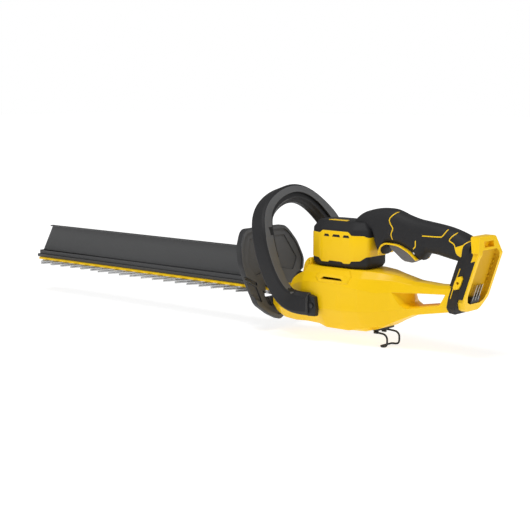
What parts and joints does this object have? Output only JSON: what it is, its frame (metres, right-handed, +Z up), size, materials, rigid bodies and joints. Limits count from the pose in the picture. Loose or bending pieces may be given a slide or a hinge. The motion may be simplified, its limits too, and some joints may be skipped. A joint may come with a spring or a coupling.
{
  "type": "cordless hedge trimmer",
  "caption": "Cordless hedge trimmer with a double-sided toothed blade, clippings panel, guard, front loop handle, rear trigger handle and an open battery seat.",
  "frame": {"origin": "middle of the underside of the whole tool's box, level with the lowest point of the hanging hook", "axes": "+X to the rear, away from the blade's tip; +Y to the user's right; +Z up"},
  "size_m": [1.0466, 0.2172, 0.2548],
  "materials": {
    "blade_steel": "ground and lightly worn",
    "yellow_plastic": "satin moulded plastic",
    "panel_grey": "extrusion painted satin dark grey",
    "guard_plastic": "fine grained moulded plastic",
    "screw_steel": "zinc plated",
    "cast_alloy": "as cast",
    "gear_steel": "oiled",
    "can_steel": "plated",
    "magnet": "black ferrite",
    "board": "lacquered circuit board",
    "black_rubber": "soft overmould",
    "trigger_grey": "moulded plastic",
    "black_plastic": "moulded plastic",
    "contact_metal": "plated contacts",
    "hook_wire": "black coated wire"
  },
  "bodies": {
    "housing": {"blade_cover_strip": "yellow_plastic", "clippings_panel": "panel_grey", "guard": "guard_plastic", "guard_screw_left": "screw_steel", "guard_screw_right": "screw_steel", "left_body_shell": "yellow_plastic", "right_body_shell": "yellow_plastic", "gearbox_housing": "cast_alloy", "gearbox_cover": "cast_alloy", "motor_can": "can_steel", "motor_magnet_left": "magnet", "motor_magnet_right": "magnet", "control_board": "board", "motor_base_ring": "black_rubber", "motor_mount_plate": "can_steel", "motor_band": "yellow_plastic", "motor_cap": "black_rubber", "battery_seat": "yellow_plastic", "trigger_pin": "screw_steel", "switch_module": "black_plastic", "post_badge_left": "yellow_plastic", "post_badge_right": "yellow_plastic", "left_handle_shell": "black_rubber", "right_handle_shell": "black_rubber", "terminal_block": "black_plastic", "terminal_blade_1": "contact_metal", "terminal_blade_2": "contact_metal", "terminal_blade_3": "contact_metal", "front_loop": "guard_plastic", "loop_clamp_left": "black_plastic", "loop_clamp_right": "black_plastic", "clamp_screw_left": "screw_steel", "clamp_screw_right": "screw_steel", "hook_plate": "black_plastic", "blade_bolt_1": "screw_steel", "blade_bolt_2": "screw_steel", "blade_bolt_3": "screw_steel", "blade_bolt_4": "screw_steel", "blade_bolt_5": "screw_steel"},
    "crank": {"crank_gear": "gear_steel"},
    "rotor": {"motor_rotor": "gear_steel"},
    "upper_blade_body": {"upper_blade": "blade_steel"},
    "lower_blade_body": {"lower_blade": "blade_steel"},
    "trigger_body": {"trigger": "trigger_grey"},
    "lever_body": {"front_switch_lever": "black_plastic"},
    "hook_body": {"hanging_hook": "hook_wire"}
  },
  "joints": [
    {"name": "crank_spin", "type": "hinge", "parent": "housing", "child": "crank", "pos_m": [0.21368, 0, 0.06563], "axis": [0, 0, 1], "continuous": true},
    {"name": "motor_spin", "type": "hinge", "parent": "housing", "child": "rotor", "pos_m": [0.25368, 0, 0.06563], "axis": [0, 0, 1], "continuous": true},
    {"name": "upper_blade_slide", "type": "slide", "parent": "housing", "child": "upper_blade_body", "axis": [1, 0, 0], "range_m": [-0.0075, 0.0075]},
    {"name": "lower_blade_slide", "type": "slide", "parent": "housing", "child": "lower_blade_body", "axis": [1, 0, 0], "range_m": [-0.0075, 0.0075]},
    {"name": "trigger_pull", "type": "hinge", "parent": "housing", "child": "trigger_body", "pos_m": [0.39568, 0, 0.15763], "axis": [0, 1, 0], "range_deg": [0, 8], "stiffness_Nm_per_rad": 0.6, "springref_deg": -8.59},
    {"name": "front_lever_press", "type": "slide", "parent": "housing", "child": "lever_body", "axis": [-0.3304, 0, 0.9438], "range_m": [0, 0.003], "stiffness_N_per_m": 900, "springref_m": -0.003},
    {"name": "hook_swing", "type": "hinge", "parent": "housing", "child": "hook_body", "pos_m": [0.32168, 0, 0.02313], "axis": [0, 1, 0], "range_deg": [0, 75]}
  ],
  "couplings": [
    {"joint": "motor_spin", "follows": "crank_spin", "ratio": -5.4},
    {"joint": "lower_blade_slide", "follows": "upper_blade_slide", "ratio": -1}
  ]
}
